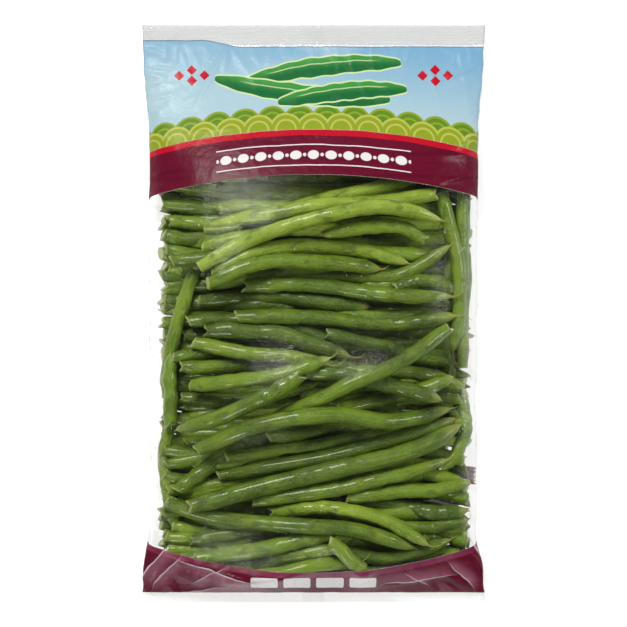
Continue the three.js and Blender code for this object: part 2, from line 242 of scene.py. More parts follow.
# Lays a copy of a master bean along a line
def layBean(master, knots, thick, draw, tone, whisker=True):
    model = beanModel
    along = np.concatenate([[0], np.cumsum(np.linalg.norm(np.diff(knots, axis=0), axis=1))])
    length = along[-1]
    tail = draw(*model["whisker"]) * mm if whisker and draw() > 0.5 else draw(0.6, 2) * mm
    curl = (draw(-0.8, 0.8), draw(-0.2, 0.5))
    swell = draw(*model["seedSwell"])
    pitch = draw(*model["seedPitch"]) * mm
    phase = draw(0, math.pi)
    twist = draw(0, 2 * math.pi)
    oval = draw(*model["oval"])
    slant = draw(-model["cutSlant"], model["cutSlant"])
    notch = draw(*model["notch"]) if draw() > 0.6 else 0
    lean = draw(*model["cutLean"])
    taperStart = draw(*model["taperStart"])
    bluntness = draw(*model["bluntness"])
    waves = [(draw(0.6, 2.6), draw(0, 6.3), draw(0.3, 1) * model["wobble"] * mm) for _ in range(4)]
    lumps = [(draw(2, 9), draw(0, 6.3), draw(0.2, 1) * model["lumps"]) for _ in range(3)]

    bean = master.copy()
    bean.data = master.data.copy()
    bpy.context.scene.collection.objects.link(bean)
    co = np.empty(len(bean.data.vertices) * 3)
    bean.data.vertices.foreach_get("co", co)
    co = co.reshape(-1, 3)
    station = np.clip(co[:, 0] + 0.5, 0, 1)
    spread = np.hypot(co[:, 1], co[:, 2])
    angle = np.arctan2(co[:, 2], co[:, 1])

    stops, ring = np.unique(np.round(station, 5), return_inverse=True)
    t = np.minimum(stops / model["bodyShare"], 1)
    beyond = np.clip((stops - model["bodyShare"]) / (1 - model["bodyShare"]), 0, 1)
    middle = throughKnots(along, knots, t * length)
    last = knots[-1] - knots[-2]
    last /= np.linalg.norm(last)
    lastSide = np.array([-last[1], last[0], 0]) / max(1e-6, math.hypot(last[0], last[1]))
    middle += last * (beyond * tail)[:, None] + lastSide * (curl[0] * beyond**2 * tail)[:, None]
    middle[:, 2] += curl[1] * beyond**2 * tail * 0.5
    fade = np.sin(np.pi * np.clip(t, 0, 1))
    heading = np.gradient(middle, axis=0)
    heading /= np.linalg.norm(heading, axis=1)[:, None]
    side = np.cross([0, 0, 1], heading)
    side /= np.linalg.norm(side, axis=1)[:, None]
    rise = np.cross(heading, side)
    sway = sum(size * np.sin(2 * np.pi * count * t + start) for count, start, size in waves[:2])
    nod = sum(size * np.sin(2 * np.pi * count * t + start) for count, start, size in waves[2:])
    middle += side * (sway * fade)[:, None] + rise * (nod * fade * 0.4)[:, None]

    limit = bagAt(middle[:, 1] / mm)[0] * mm - model["filmPlay"] * mm
    middle[:, 0] = np.clip(middle[:, 0], -limit, limit)
    seeds = 1 + swell * (np.sin(np.pi * t * length / pitch + phase) ** 2 - 0.5) * np.clip(fade * 1.6, 0, 1)
    seeds += sum(size * np.sin(2 * np.pi * count * t + start) for count, start, size in lumps)
    radius = thick * beanFullness(t, taperStart, bluntness) * seeds
    whiskerRadius = model["whiskerRadius"] * mm * (1 - 0.65 * beyond)
    radius = np.where(t >= 1, whiskerRadius, np.maximum(radius, model["whiskerRadius"] * mm))

    r = radius[ring] * spread
    ovalness = 1 + oval * np.cos(2 * (angle - twist))
    ridge = 1 + model["ridge"] * np.maximum(0, np.cos(angle - twist)) ** 24
    across = r * np.cos(angle) * ovalness * ridge
    upward = r * np.sin(angle) * ovalness * ridge
    nearCut = np.clip(1 - station * 28, 0, 1)
    mouth = notch * np.maximum(0, thick * 0.8 - 1.6 * np.abs(across))
    endShift = (slant * across + lean * upward + mouth) * nearCut
    endShift += np.where((spread < 0.97) & (station < 0.3), model["dimple"] * (1 - spread), 0)
    place = middle[ring] + heading[ring] * endShift[:, None] + side[ring] * across[:, None]
    place += rise[ring] * upward[:, None]
    bean.data.vertices.foreach_set("co", place.ravel())

    seed = draw(0, 60)
    space = np.column_stack([t[ring] * length + beyond[ring] * tail + seed, across, upward])
    bean.data.attributes.new("beanSpace", "FLOAT_VECTOR", "POINT").data.foreach_set("vector", space.ravel())
    for name, values in (
        ("beanToneAndShade", np.full(len(r), tone)),
        ("beanTip", smoothStep(t[ring], 0.86, 1.0)),
        ("beanCut", np.clip(1 - t[ring] * length / model["cutReach"], 0, 1)),
    ):
        bean.data.attributes.new(name, "FLOAT", "POINT").data.foreach_set("value", values)
    steps = np.linspace(0, 1, max(8, int(length / (0.5 * mm))))
    traced = [np.interp(steps, stops, values) for values in (*middle.T, radius)]
    laidBeans.append(np.column_stack(traced))
    return bean


def joinBeans(beans, name):
    bpy.ops.object.select_all(action="DESELECT")
    for bean in beans:
        bean.select_set(True)
    bpy.context.view_layer.objects.active = beans[0]
    bpy.ops.object.join()
    beans[0].name = name
    beans[0].data.name = name
    return beans[0]


longMaster = modelBean("bean_master", beanModel["sides"], beanModel["rings"])
packedMaster = modelBean("packed_master", beanModel["packedSides"], beanModel["packedRings"])

# The beans behind: the frame's own two layers by its own rule, a layer between them, and their partners
packedPile = {
    "seed": 4711,
    "pitch": 8.7,
    "low": -146,
    "high": 76,
    "share": 0.33,
    "crossingMiddle": -38,
    "crossingReach": 26,
    "lift": 1.1,
    "plumpness": 1.06,
    "length": (112, 22),
    "thickness": (7.4, 1.2),
    "edge": (13, 5),
    "spareShare": 0.225,
    # Painted light: the beans behind above this y are toned lighter, by the next amount
    "paintedLightAbove": 30,
    "paintedLight": 0.2,
    # Side, where the beans lie low, how far they are pulled in, and the share with the stem end outward
    "sides": [(-1, -66, 34, 1.6, 0.88), (1, -34, 74, 0, 0.6)],
    "insets": [(2.4, 5.0), (3.0, 10)],
    "spacings": [(5.4, 7.6), (6, 12)],
    "denserBelow": -96,
    # Side, y, length and height share
    "plugs": [
        (-1, 3, 42, 0.16), (-1, -5, 50, 0.24), (1, -43, 46, 0.2), (1, -50, 40, 0.26), (1, -8, 44, 0.16),
    ],
    # x, from y, to y and height share
    "uprights": [(82, -30, 74, 0.42), (75, -44, 60, 0.36), (-78.5, -62, -22, 0.6)],
}


def between(x, y, share):
    low = backHeight(x, y)
    return low + share * (frontHeight(x, y) - low)


def halfWidth(y):
    return bagAt(np.array(float(y)))[0]


def rowLine(draw, y, leftward, level):
    pile = packedPile
    length = pile["length"][0] + pile["length"][1] * draw()
    thick = pile["thickness"][0] + pile["thickness"][1] * draw()
    edge = halfWidth(y) - pile["edge"][0] - pile["edge"][1] * draw()
    towards = 1 if leftward else -1
    slope = 0.05 * (draw() - 0.5)
    bow = 5 * (draw() - 0.5)
    t = np.linspace(0, 1, 9)
    x = -towards * edge + towards * length * t
    line = np.column_stack([x, y + length * slope * (t - 0.5) + bow * np.sin(np.pi * t), x])
    line[:, 2] = level(line[:, 0], line[:, 1], thick)
    return line, thick, towards, edge, length


def partnerLine(draw, line, towards, edge, length):
    t = np.linspace(0, 1, 9)
    reach = 2 * edge - length + draw(26, 44)
    x = towards * edge - towards * reach * t
    y = np.interp(0.5, [0, 1], [line[0, 1], line[-1, 1]]) + draw(-1.5, 1.5) + reach * draw(-0.05, 0.05) * t
    lap = smoothStep(reach * t, 2 * edge - length - 14, 2 * edge - length + 6)
    z = np.interp(np.abs(x), np.sort(np.abs(line[:, 0])), line[np.argsort(np.abs(line[:, 0])), 2])
    return np.column_stack([x, y, z + 6.5 * lap])


def layPacked():
    pile = packedPile
    draw = Draw(pile["seed"])
    looks = Draw(977)
    beans = []

    def lay(line, thick, tone):
        radius = thick * pile["plumpness"] / 2 * mm
        beans.append(layBean(packedMaster, line * mm, radius, looks, tone, whisker=looks() > 0.5))

    def atShare(x, y, thick):
        return between(x, y, pile["share"])

    def atSpareShare(x, y, thick):
        return between(x, y, pile["spareShare"])

    def onBack(x, y, thick):
        return backHeight(x, y) + pile["lift"] + thick / 2

    rows = int((pile["high"] - pile["low"]) // pile["pitch"])
    for row in range(rows + 1):
        y = pile["low"] + 4 + row * pile["pitch"]
        upper = rowLine(draw, y, row % 2 == 0, atShare)
        lower = rowLine(draw, y, row % 2 == 1, onBack)
        # Painted light on the upper beans behind
        paintedLight = pile["paintedLight"] if y > pile["paintedLightAbove"] else 0
        if abs(y - pile["crossingMiddle"]) > pile["crossingReach"]:
            lay(upper[0], upper[1], looks(0.1, 0.5) + paintedLight)
            lay(partnerLine(looks, upper[0], *upper[2:]), upper[1], looks(0.1, 0.5) + paintedLight)
        lay(lower[0], lower[1], looks(0.1, 0.7))
        lay(partnerLine(looks, lower[0], *lower[2:]), lower[1], looks(0.1, 0.7))
        if row < rows:
            spare = rowLine(looks, y + pile["pitch"] / 2, row % 2 == 0, atSpareShare)
            lay(spare[0], spare[1], looks(0.1, 0.6))
    for side, sunkLow, sunkHigh, pulledIn, stemShare in pile["sides"]:
        for layer in (0, 1):
            y = pile["low"] + 4 + 3 * layer
            while y < pile["high"] - 2:
                sunk = layer == 0 or sunkLow < y < sunkHigh
                inset = looks(*pile["insets"][layer])
                outer = side * (halfWidth(y) - inset - pulledIn)
                reach = looks(44, 92)
                slope = looks(-0.28, 0.28) * (0.3 if abs(y + 36) > 92 else 1)
                t = np.linspace(0, 1, 7)
                x = outer - side * reach * t
                line = np.column_stack([x, y + reach * slope * t + looks(-4, 4) * np.sin(np.pi * t), x])
                share = looks(0.18, 0.25) if sunk else looks(0.38, 0.52)
                line[:, 2] = between(line[:, 0], line[:, 1], share * (1 - t) + 0.26 * t)
                if looks() > stemShare:
                    line = line[::-1]
                # Sunk beans take a darker tone: painted shade on the beans deep in the pile
                lay(line, looks(6.8, 8.3), looks(0.0, 0.4) if sunk else looks(0.1, 0.6))
                y += looks(*pile["spacings"][layer]) * (0.8 if y < pile["denserBelow"] else 1)
    for side, y, reach, share in pile["plugs"]:
        t = np.linspace(0, 1, 7)
        x = side * (halfWidth(y) - looks(3.5, 5.5) - reach * t)
        line = np.column_stack([x, y + looks(-2, 2) * t, x])
        line[:, 2] = between(line[:, 0], line[:, 1], share)
        lay(line, looks(7, 8.2), looks(0.05, 0.3))
    for x, low, high, share in pile["uprights"]:
        y = np.linspace(low, high, 7)[:: 1 if looks() > 0.4 else -1]
        bow = looks(-2.5, 0.8) * np.sign(x) * np.sin(np.linspace(0, np.pi, 7))
        lay(np.column_stack([x + bow, y, between(x + bow, y, share)]), looks(6.6, 7.6), looks(0.1, 0.55))
    return beans


packed = joinBeans(layPacked(), "packed_beans_all")
print(f"packed beans laid, {len(laidBeans)} of them")

# The beans in front, each along its own solid, in three groups up the bag
frontBeans = {
    "nodes": [f"bean_{i:02d}" for i in range(1, 54)],
    "groups": [("beans_low", -200, -60), ("beans_middle", -60, 8), ("beans_high", 8, 200)],
    "seed": 1801,
    "depthShadeAt": 34,
    "depthShadeSpan": 80,
    "tone": 0.25,
    "toneSpread": 0.3,
    "toneLimits": (0.08, 1.1),
    "uprightTone": 0.4,
    # Painted light towards the header, where the printed band shades the beans, and lighter towards the low
    # end: which way, how much, from and to what distance
    "lighter": [(1, 0.36, 5, 50), (-1, 0.22, 50, 80)],
}


def frontToneAndShade(draw, y, height, upright):
    lot = frontBeans
    # Higher beans are toned lighter and deeper ones darker, a painted shade down the pile, over a random
    # spread
    tone = lot["tone"] + (height - lot["depthShadeAt"]) / lot["depthShadeSpan"]
    tone += draw(-lot["toneSpread"], lot["toneSpread"])
    for way, share, start, end in lot["lighter"]:
        tone += share * smoothStep(way * y, start, end)
    least, most = lot["toneLimits"]
    return np.clip(tone, lot["uprightTone"] if upright else least, most)


def layFront():
    draw = Draw(frontBeans["seed"])
    groups = {name: ([], []) for name, low, high in frontBeans["groups"]}
    for node in frontBeans["nodes"]:
        line, thick = readBeanLine(node)
        middle = line[:, 1].mean() / mm
        height = line[:, 2].mean() / mm
        upright = np.ptp(line[:, 1]) > np.ptp(line[:, 0])
        tone = frontToneAndShade(draw, middle, height, upright)
        bean = layBean(longMaster, line, thick * 1.02, draw, tone)
        for name, low, high in frontBeans["groups"]:
            if low <= middle < high:
                groups[name][0].append(bean)
                groups[name][1].append(node)
    return [(joinBeans(beans, name), nodes) for name, (beans, nodes) in groups.items()]


front = layFront()
for master in (longMaster, packedMaster):
    bpy.data.objects.remove(master)
print("front beans laid")

# The film: a front sheet drawn taut over the beans, a back sheet on the table, joined along both sides
film = {
    "columns": 204,
    "rows": 336,
    "backColumns": 56,
    "raster": 0.5,
    "rasterHalf": (100, 165),
    "gap": 0.3,
    "settling": 700,
    "headerStart": (80, 98),
    "headerFill": 0.93,
    "backPlay": 0.35,
    "crumple": (1.3, 0.6),
    "facet": 9.5,
    "facetSeed": 3,
    "tuck": 0.9,
    "waist": (1.9, 1.2),
    "flare": (2.6, -138, 12),
    "creaseCounts": {"sides": 90, "header": 70, "corners": 14, "foot": 60, "neck": 44, "window": 240},
    # Long creases of the header, and the folds of the low corners, each as filmCreases gives them
    "headerCreases": [
        (-47, 149, -66, 112, 1.0, 2.2), (-47, 149, -30, 124, 0.9, 2.0), (-47, 149, -50, 132, 1.2, 1.6),
        (60, 148, 72, 108, 0.6, 2.2), (20, 140, 34, 110, 0.5, 1.2), (80, 148, 88, 96, 0.7, 2.0),
    ],
    "folds": [
        (-94, -152, -76, -122, 2.4, 1.3), (-90, -154, -70, -130, 1.7, 1.1), (-84, -132, -22, -152, 2.6, 1.4),
        (-70, -150, -46, -138, 1.7, 1.2), (-94, -156, -40, -150, 1.5, 1.2), (94, -152, 82, -112, 2.2, 1.2),
        (90, -154, 72, -134, 1.6, 1.1), (84, -142, 30, -151, 2.2, 1.3), (66, -151, 48, -141, 1.5, 1.1),
    ],
    "seed": 90210,
}


# Heights of the beans' tops over the table, on an even grid
def beanTops():
    step = film["raster"] * mm
    west, south = (half * mm for half in film["rasterHalf"])
    nx = int(2 * west / step)
    ny = int(2 * south / step)
    tops = np.zeros((ny, nx))
    for points in laidBeans:
        for x, y, z, r in points:
            i = int(round((x + west) / step))
            j = int(round((y + south) / step))
            n = int(r / step)
            if i - n < 0 or j - n < 0 or i + n >= nx or j + n >= ny:
                continue
            gx = ((np.arange(i - n, i + n + 1) * step - west) - x) ** 2
            gy = ((np.arange(j - n, j + n + 1) * step - south) - y) ** 2
            cap = r * r - gx[None, :] - gy[:, None]
            dome = np.where(cap > 0, z + np.sqrt(np.maximum(cap, 0)), 0)
            patch = tops[j - n : j + n + 1, i - n : i + n + 1]
            np.maximum(patch, dome, out=patch)
    grown = tops.copy()
    for dj in (-1, 0, 1):
        for di in (-1, 0, 1):
            grown = np.maximum(grown, np.roll(tops, (dj, di), (0, 1)))
    return grown


# Creases: ridges along short lines, each from x, y to x, y, with its height and width in mm
def filmCreases():
    draw = Draw(film["seed"])
    counts = film["creaseCounts"]
    creases = []

    def add(x, y, dx, dy, heights, widths):
        creases.append((x, y, x + dx, y + dy, draw(*heights), draw(*widths)))

    for _ in range(counts["sides"]):
        side = -1 if draw() < 0.5 else 1
        y = draw(-138, 140)
        reach = draw(8, 26)
        x = side * (halfWidth(y) - draw(0, 2))
        add(x, y, -side * reach, draw(-6, 6), (0.3, 1.3), (0.8, 1.8))
    for _ in range(counts["header"]):
        x = draw(-88, 88)
        y = draw(88, 142)
        turn = draw(0, math.pi)
        reach = draw(10, 34)
        add(x, y, reach * math.cos(turn), reach * math.sin(turn) * 0.8, (0.1, 0.45), (1.2, 3.4))
    for _ in range(counts["corners"]):
        side = -1 if draw() < 0.5 else 1
        x = side * draw(66, 93)
        y = draw(-156, -148)
        turn = draw(0.35, 1.35)
        reach = draw(12, 30)
        add(x, y, -side * reach * math.cos(turn), reach * math.sin(turn), (0.6, 1.4), (0.9, 1.6))
    for _ in range(counts["foot"]):
        add(draw(-80, 80), -153, draw(-6, 6), draw(6, 14), (0.2, 0.8), (0.8, 1.6))
    for _ in range(counts["neck"]):
        add(draw(-92, 92), 149, draw(-9, 9), -draw(6, 22), (0.1, 0.5), (0.9, 2))
    for _ in range(counts["window"]):
        x = draw(-82, 82)
        y = draw(-140, 74)
        turn = draw(0.9, 2.2)
        reach = draw(5, 16)
        add(x, y, reach * math.cos(turn), reach * math.sin(turn), (0.1, 0.45), (0.7, 1.3))
    return creases + film["headerCreases"] + film["folds"]


def creaseHeights(x, y):
    total = np.zeros_like(x)
    for x0, y0, x1, y1, height, width in filmCreases():
        dx, dy = x1 - x0, y1 - y0
        length = math.hypot(dx, dy)
        t = ((x - x0) * dx + (y - y0) * dy) / length**2
        off = np.abs((x - x0) * dy - (y - y0) * dx) / length
        taper = np.sin(np.pi * np.clip(t, 0, 1)) ** 0.7
        total = np.maximum(total, height * taper * np.exp(-off / width))
    return total


# Crumpled film: flat facets between random heights on a warped lattice, 0 to 1
def facets(x, y, size, seed):
    draw = Draw(seed)
    heights = np.array([[draw() for _ in range(61)] for _ in range(61)])
    u = (x + 2.2 * np.sin(y / 6.3 + seed) + 1.3 * np.sin(y / 2.9)) / size + 0.5 * y / size
    v = (y + 1.9 * np.sin(x / 5.1 + seed)) / size * 1.1
    i, j = np.floor(u).astype(int), np.floor(v).astype(int)
    a, b = u - i, v - j

    def at(di, dj):
        return heights[(i + di) % 61, (j + dj) % 61]

    lower = at(0, 0) + a * (at(1, 0) - at(0, 0)) + b * (at(0, 1) - at(0, 0))
    upper = at(1, 1) + (1 - a) * (at(0, 1) - at(1, 1)) + (1 - b) * (at(1, 0) - at(1, 1))
    return np.where(a + b < 1, lower, upper)


# Where the film is crumpled: along both sides, most of all by the low corners
def crumpled(x, y):
    sides = smoothStep(np.abs(x), 70, 86) * (0.55 + 0.45 * smoothStep(-y, -30, 40))
    corners = smoothStep(np.abs(x), 34, 76) * smoothStep(-y, 112, 146)
    return np.maximum(sides, 1.8 * corners)


def crumpleHeights(x, y):
    size = film["crumple"]
    coarse = facets(x, y, film["facet"], film["facetSeed"])
    return crumpled(x, y) * (size[0] * coarse + size[1] * facets(x, y, 4.6, 8))


def frontSheet():
    u = np.linspace(-1, 1, film["columns"])
    share = 0.55 * u + 0.45 * np.sin(np.pi * u / 2)
    y = np.linspace(-bag["length"] / 2, bag["length"] / 2, film["rows"])
    half, fold = bagAt(y)[:2]
    x = share[None, :] * half[:, None]
    yy = np.repeat(y[:, None], film["columns"], axis=1)
    profile = frontHeight(x, yy)
    tops = beanTops() / mm
    west, south = film["rasterHalf"]
    i = np.clip(((x + west) / film["raster"]).round().astype(int), 0, tops.shape[1] - 1)
    j = np.clip(((yy + south) / film["raster"]).round().astype(int), 0, tops.shape[0] - 1)
    floor = tops[j, i] + film["gap"]
    header = smoothStep(yy, *film["headerStart"])
    floor = np.maximum(floor, (fold[:, None] + (profile - fold[:, None]) * film["headerFill"]) * header)
    lowSeal = -bag["length"] / 2 + bag["lowSeal"]
    topSeal = bag["length"] / 2 - bag["topSeal"]
    sealed = (yy <= lowSeal) | (yy >= topSeal)
    held = sealed | (np.abs(share)[None, :] > 0.999)
    height = np.where(held, profile, np.maximum(profile, floor))
    rest = np.where(held, profile, floor)
    for _ in range(film["settling"]):
        mean = height.copy()
        mean[1:-1, 1:-1] = (
            height[:-2, 1:-1] + height[2:, 1:-1] + height[1:-1, :-2] + height[1:-1, 2:]
        ) / 4
        height = np.where(held, profile, np.maximum(rest, mean))
    relief = creaseHeights(x, yy) + crumpleHeights(x, yy)
    height += relief * np.where(sealed, 0.15, 1) * (np.abs(share) < 0.999)
    return x, yy, height


def backSheet():
    u = np.linspace(-1, 1, film["backColumns"])
    share = 0.4 * u + 0.6 * np.sin(np.pi * u / 2)
    y = np.linspace(-bag["length"] / 2, bag["length"] / 2, film["rows"])
    x = share[None, :] * bagAt(y)[0][:, None]
    yy = np.repeat(y[:, None], film["backColumns"], axis=1)
    play = 0.5 + 0.25 * np.sin(x / 7 + 2 * np.sin(yy / 19)) + 0.25 * np.sin(yy / 9 + 1.5 * np.sin(x / 13))
    height = backHeight(x, yy) + film["backPlay"] * play * (1 - np.abs(share)[None, :] ** 6)
    return x, yy, height


# How both sheets wave together at the welds and along the folds
def waveSheet(x, y, z):
    low = smoothStep(-y, 140, 159)
    top = smoothStep(y, 132, 159)
    z = z + top * (0.9 * np.sin(x / 17 + 0.6) + 0.5 * np.sin(x / 7.3)) + 1.1 * top
    z = z + low * (0.8 * np.sin(x / 14 + 2) + 0.5 * np.sin(x / 5.7))
    edge = smoothStep(np.abs(x), 74, 90)
    ripple = 0.22 * np.sin(y / 6.1) + 0.2 * np.sin(y / 13.0 + x / 40)
    tuck = film["tuck"] * (0.5 - facets(x * 0.5, y, 9, 5))
    tuck = tuck * smoothStep(np.abs(x), 80, 88) * smoothStep(y, -152, -140)
    waist = np.where(x < 0, *film["waist"]) * smoothStep(y, -158, -142) * smoothStep(-y, -95, -40)
    size, middle, reach = film["flare"]
    flare = size * np.exp(-(((y - middle) / reach) ** 2)) * smoothStep(y, -158, -146)
    x = x + edge * np.sign(x) * (ripple + tuck + waist + flare)
    return x, y, np.maximum(z, 0)


# A grid of these places, with the film's own measures on its points for the print
def gridSheet(name, x, y, z, isBack):
    rows, columns = x.shape
    bpy.ops.object.select_all(action="DESELECT")
    bpy.ops.mesh.primitive_grid_add(x_subdivisions=columns - 1, y_subdivisions=rows - 1, size=2)
    sheet = bpy.context.object
    sheet.name = name
    co = np.empty(len(sheet.data.vertices) * 3)
    sheet.data.vertices.foreach_get("co", co)
    co = co.reshape(-1, 3)
    column = ((co[:, 0] + 1) / 2 * (columns - 1)).round().astype(int)
    row = ((co[:, 1] + 1) / 2 * (rows - 1)).round().astype(int)
    flatX, flatY = x, y
    x, y, z = waveSheet(x, y, z)
    place = np.column_stack([x[row, column], y[row, column], z[row, column]]) * mm
    sheet.data.vertices.foreach_set("co", place.ravel())
    smooth = backHeight(flatX, flatY) if isBack else frontHeight(flatX, flatY)
    steps = np.hypot(np.diff(flatX, axis=1), np.diff(smooth, axis=1))
    flat = np.concatenate([np.zeros((rows, 1)), np.cumsum(steps, axis=1)], axis=1)
    flat -= flat[:, -1:] / 2
    fold = np.zeros_like(x) if isBack else creaseHeights(flatX, flatY)
    for layer, values in (
        ("filmAcross", flat[row, column] * mm),
        ("filmAlong", y[row, column] * mm),
        ("filmCrease", fold[row, column]),
        ("filmFlat", flatX[row, column] * mm),
        ("filmEdge", smoothStep(np.abs(flatX) / bagAt(flatY)[0], 0.86, 0.99)[row, column]),
        ("filmBack", np.full(len(co), float(isBack))),
    ):
        sheet.data.attributes.new(layer, "FLOAT", "POINT").data.foreach_set("value", values)
    return sheet


def makeFilm():
    frontPart = gridSheet("film_front", *frontSheet(), False)
    backPart = gridSheet("film_back", *backSheet(), True)
    onlySelect(backPart)
    bpy.ops.object.mode_set(mode="EDIT")
    bpy.ops.mesh.select_all(action="SELECT")
    bpy.ops.mesh.flip_normals()
    bpy.ops.object.mode_set(mode="OBJECT")
    bpy.ops.object.select_all(action="DESELECT")
    backPart.select_set(True)
    frontPart.select_set(True)
    bpy.context.view_layer.objects.active = frontPart
    bpy.ops.object.join()
    frontPart.name = "printed_film"
    bpy.ops.object.mode_set(mode="EDIT")
    bpy.ops.mesh.select_all(action="SELECT")
    bpy.ops.mesh.remove_doubles(threshold=1e-6)
    bpy.ops.object.mode_set(mode="OBJECT")
    bpy.ops.object.shade_smooth()
    return frontPart


filmPiece = makeFilm()
print("film laid")


# A shader output that takes arithmetic: each operation adds a Math node
class Wire:
    def __init__(self, tree, output):
        self.tree = tree
        self.output = output

    def math(self, operation, *others, first=None):
        node = self.tree.nodes.new("ShaderNodeMath")
        node.operation = operation
        for socket, value in zip(node.inputs, (self, *others) if first is None else (first, self)):
            if isinstance(value, Wire):
                self.tree.links.new(value.output, socket)
            else:
                socket.default_value = value
        return Wire(self.tree, node.outputs[0])

    def __add__(self, other):
        return self.math("ADD", other)

    __radd__ = __add__

    def __sub__(self, other):
        return self.math("SUBTRACT", other)

    def __rsub__(self, other):
        return self.math("SUBTRACT", first=other)

    def __mul__(self, other):
        return self.math("MULTIPLY", other)

    __rmul__ = __mul__

    def __truediv__(self, other):
        return self.math("DIVIDE", other)

    def __pow__(self, other):
        return self.math("POWER", other)

    def size(self):
        return self.math("ABSOLUTE")

    def over(self, other):
        return self.math("MAXIMUM", other)

    def under(self, other):
        return self.math("MINIMUM", other)

    # 0 below low and 1 above high, smoothly; with low above high it falls instead
    def step(self, low, high):
        t = ((self - low) / (high - low)).math("ADD", 0)
        t.output.node.use_clamp = True
        return t * t * (3 - 2 * t)


class Finish:
    def __init__(self, name):
        self.material = bpy.data.materials.new(name)
        self.material.use_nodes = True
        self.tree = self.material.node_tree
        self.tree.nodes.clear()

    # Any node but Math: its type, its settings, then the values or links of its sockets by name or as i0, i1
    def node(self, kind, settings=None, **sockets):
        node = self.tree.nodes.new(kind)
        for key, value in (settings or {}).items():
            setattr(node, key, value)
        for key, value in sockets.items():
            socket = node.inputs[int(key[1:]) if key[1:].isdigit() else key.replace("_", " ")]
            if isinstance(value, Wire):
                self.tree.links.new(value.output, socket)
            elif isinstance(value, tuple) and len(value) == 3 and socket.type == "RGBA":
                socket.default_value = (*value, 1)
            else:
                socket.default_value = value
        return node

    def wire(self, kind, output=0, settings=None, **sockets):
        return Wire(self.tree, self.node(kind, settings, **sockets).outputs[output])

    def attribute(self, name, output="Fac"):
        return self.wire("ShaderNodeAttribute", output, {"attribute_name": name})

    def noise(self, place, scale, detail=2.0, stretch=(1, 1, 1), roughness=0.5):
        place = self.wire("ShaderNodeVectorMath", 0, {"operation": "MULTIPLY"}, i0=place, i1=stretch)
        return self.wire(
            "ShaderNodeTexNoise", "Fac", Vector=place, Scale=scale, Detail=detail, Roughness=roughness)

    def mix(self, factor, first, second):
        return self.wire("ShaderNodeMix", 2, {"data_type": "RGBA"}, i0=factor, i6=first, i7=second)

    def finish(self, shader):
        output = self.node("ShaderNodeOutputMaterial")
        self.tree.links.new(shader.output, output.inputs["Surface"])
        return self.material


# Colours as read, 0 to 255
def colour(r, g, b):
    return tuple(((v / 255 + 0.055) / 1.055) ** 2.4 if v > 10 else v / 255 / 12.92 for v in (r, g, b))


skin = {
    "deep": colour(36, 52, 6),
    "dark": colour(66, 90, 13),
    "mid": colour(106, 133, 28),
    "bright": colour(158, 181, 62),
    "blotch": colour(48, 74, 10),
    "tip": colour(150, 160, 78),
    "whisker": colour(140, 136, 62),
    "scar": colour(118, 88, 44),
    "cut": colour(188, 196, 130),
    "fleshRim": colour(134, 152, 74),
    "flesh": colour(96, 116, 44),
    "fleshGrain": colour(84, 98, 36),
    "fleshCore": colour(70, 70, 30),
}


def beanSkin():
    f = Finish("bean_skin")
    space = f.attribute("beanSpace", "Vector")
    tone = f.attribute("beanToneAndShade")
    tip = f.attribute("beanTip")
    cut = f.attribute("beanCut")
    mottle = f.noise(space, 70, 4, (1, 1.4, 1.4), 0.6)
    patch = f.noise(space, 32, 2)
    streak = f.noise(space, 40, 3, (1, 26, 26), 0.6)
    # The tone holds each bean's own random tone together with painted shade on deeper beans and painted
    # light under the header
    shade = tone + (mottle - 0.5) * 0.8 + (patch - 0.5) * 0.6 + (streak - 0.5) * 0.5
    base = f.mix(shade.step(-0.6, 0.15), skin["deep"], skin["dark"])
    base = f.mix(shade.step(0.0, 0.5), base, skin["mid"])
    base = f.mix(shade.step(0.45, 1.2), base, skin["bright"])
    blotch = f.noise(space, 105, 1, (1, 1.5, 1.5), 0.4).step(0.6, 0.68)
    base = f.mix(blotch * 0.5, base, skin["blotch"])
    fleck = f.noise(space, 1100, 2).step(0.55, 0.8)
    base = f.mix(fleck * 0.35, base, skin["bright"])
    base = f.mix(tip.step(0.25, 1.0) * 0.5, base, skin["tip"])
    base = f.mix(tip.step(0.93, 1.0) * 0.8, base, skin["whisker"])
    base = f.mix(cut.step(0.72, 0.98) * 0.6, base, skin["cut"])
    scar = f.noise(space, 85, 4, (1, 2.6, 2.6), 0.65).step(0.70, 0.73)
    base = f.mix(scar * 0.75, base, skin["scar"])
    rough = 0.3 + (mottle - 0.5) * 0.25 + scar * 0.25
    pimples = f.noise(space, 750, 3, (0.7, 1, 1), 0.65)
    height = streak * 0.5 + pimples * 2.3 + mottle * 0.25 - scar * 0.6
    bump = f.wire("ShaderNodeBump", 0, None, Strength=0.8, Distance=0.0005, Height=height)
    shader = f.wire("ShaderNodeBsdfPrincipled", 0, None, Base_Color=base, Roughness=rough, Normal=bump,
                    IOR=1.45, Specular_IOR_Level=0.36, Coat_Weight=0.3, Coat_Roughness=0.08)
    return f.finish(shader)


def beanFlesh():
    f = Finish("bean_cut_flesh")
    space = f.attribute("beanSpace", "Vector")
    parts = f.node("ShaderNodeSeparateXYZ", None, Vector=space)
    y, z = (Wire(f.tree, parts.outputs[k]) for k in (1, 2))
    outward = (y * y + z * z).math("SQRT")
    grain = f.noise(space, 900, 3)
    ring = (outward + (grain - 0.5) * 0.0006).step(0.0014, 0.0024)
    base = f.mix(ring, skin["flesh"], skin["fleshRim"])
    base = f.mix((grain - 0.35).step(0, 0.5) * 0.6, base, skin["fleshGrain"])
    base = f.mix(outward.step(0.0005, 0.0001) * 0.6, base, skin["fleshCore"])
    bump = f.wire("ShaderNodeBump", 0, None, Strength=0.6, Distance=0.0004, Height=grain)
    shader = f.wire("ShaderNodeBsdfPrincipled", 0, None, Base_Color=base, Roughness=0.55, Normal=bump)
    return f.finish(shader)


